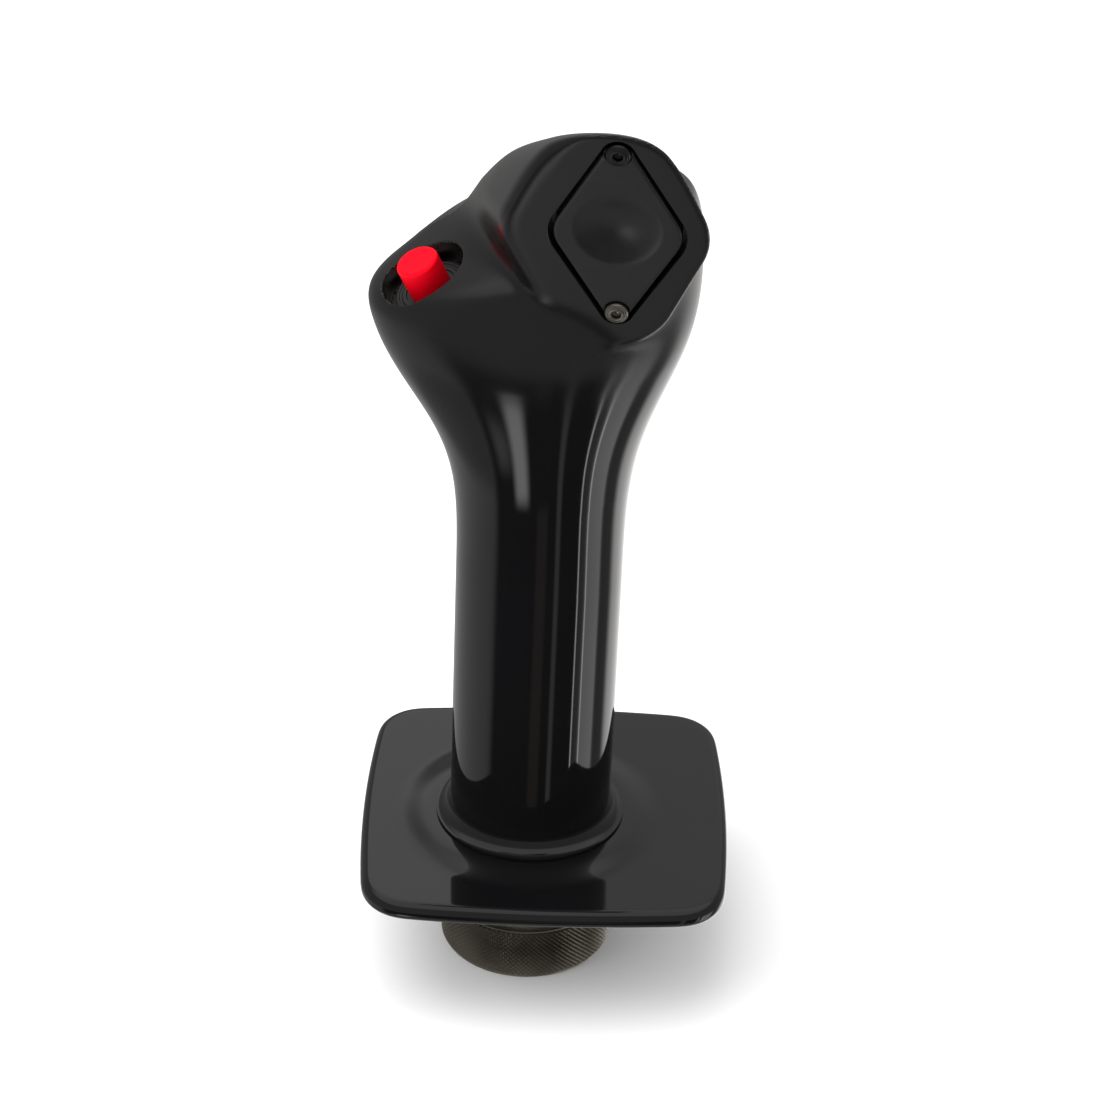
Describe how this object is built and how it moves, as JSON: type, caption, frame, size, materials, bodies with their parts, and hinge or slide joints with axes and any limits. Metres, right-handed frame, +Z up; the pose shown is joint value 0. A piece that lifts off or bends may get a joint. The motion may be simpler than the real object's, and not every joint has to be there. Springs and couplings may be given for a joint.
{
  "type": "flight joystick",
  "caption": "Tall side-stick flight grip with a diamond trigger plate, a recessed thumb button, a square hand rest and a knurled quick-release collar.",
  "frame": {"origin": "centre of the open mouth of the collar nut, on the axis of its thread", "axes": "+Z up the handle, -Y towards the trigger side, -X towards the thumb button"},
  "size_m": [0.0936, 0.0928, 0.2395],
  "materials": {
    "lacquer": "gloss black lacquer",
    "satin_black": "satin black",
    "red_cap": "satin red",
    "black_plastic": "moulded black",
    "gunmetal": "dark knurled nickel",
    "black_steel": "black oxide",
    "steel": "bright steel",
    "aluminium": "machined",
    "brass": "plain",
    "pcb": "solder mask green",
    "white_plastic": "moulded natural",
    "cable_black": "flexible PVC",
    "nickel": "nickel plate"
  },
  "bodies": {
    "grip": {"grip_shell": "lacquer", "hand_rest": "lacquer", "trigger_screws": "black_steel", "button_bezel": "black_plastic", "trigger_spring": "steel", "trigger_switch": "black_plastic", "switch_cradle": "black_plastic", "switch_terminals": "brass", "screw_insert": "brass", "trigger_lead": "cable_black", "button_housing": "black_plastic", "button_nut": "nickel", "button_spring": "steel", "button_base": "black_plastic", "button_contacts": "brass", "button_lead": "cable_black", "core_stem": "aluminium", "stem_nut": "steel", "lock_washer": "steel", "dowel_pins": "steel", "thrust_washer": "white_plastic", "retaining_ring": "steel", "board_frame": "black_plastic", "frame_screws": "steel", "circuit_board": "pcb", "board_screws": "steel", "board_parts": "black_plastic", "loom_socket": "white_plastic", "loom_plug": "white_plastic", "main_loom": "cable_black", "plug_carrier": "black_plastic", "carrier_screws": "steel", "plug_shell": "nickel", "plug_insert": "black_plastic", "plug_pins": "brass", "index_pin": "steel"},
    "trigger": {"trigger_plate": "satin_black", "actuator_pin": "black_plastic"},
    "button": {"button_cap": "red_cap", "button_stem": "steel", "contact_bridge": "brass"},
    "collar": {"collar_nut": "gunmetal"}
  },
  "joints": [
    {"name": "trigger_pull", "type": "hinge", "parent": "grip", "child": "trigger", "pos_m": [0.01583, -0.03732, 0.23505], "axis": [0.9954, -0.0958, 0], "range_deg": [0, 2], "stiffness_Nm_per_rad": 8, "springref_deg": -1.15, "deforming": ["trigger_spring"]},
    {"name": "button_press", "type": "slide", "parent": "grip", "child": "button", "axis": [0.3707, 0.2455, -0.8957], "range_m": [0, 0.0025], "stiffness_N_per_m": 900, "springref_m": -0.001, "deforming": ["button_spring"]},
    {"name": "collar_turn", "type": "hinge", "parent": "grip", "child": "collar", "pos_m": [0, 0, 0.013], "axis": [0, 0, 1], "continuous": true}
  ]
}
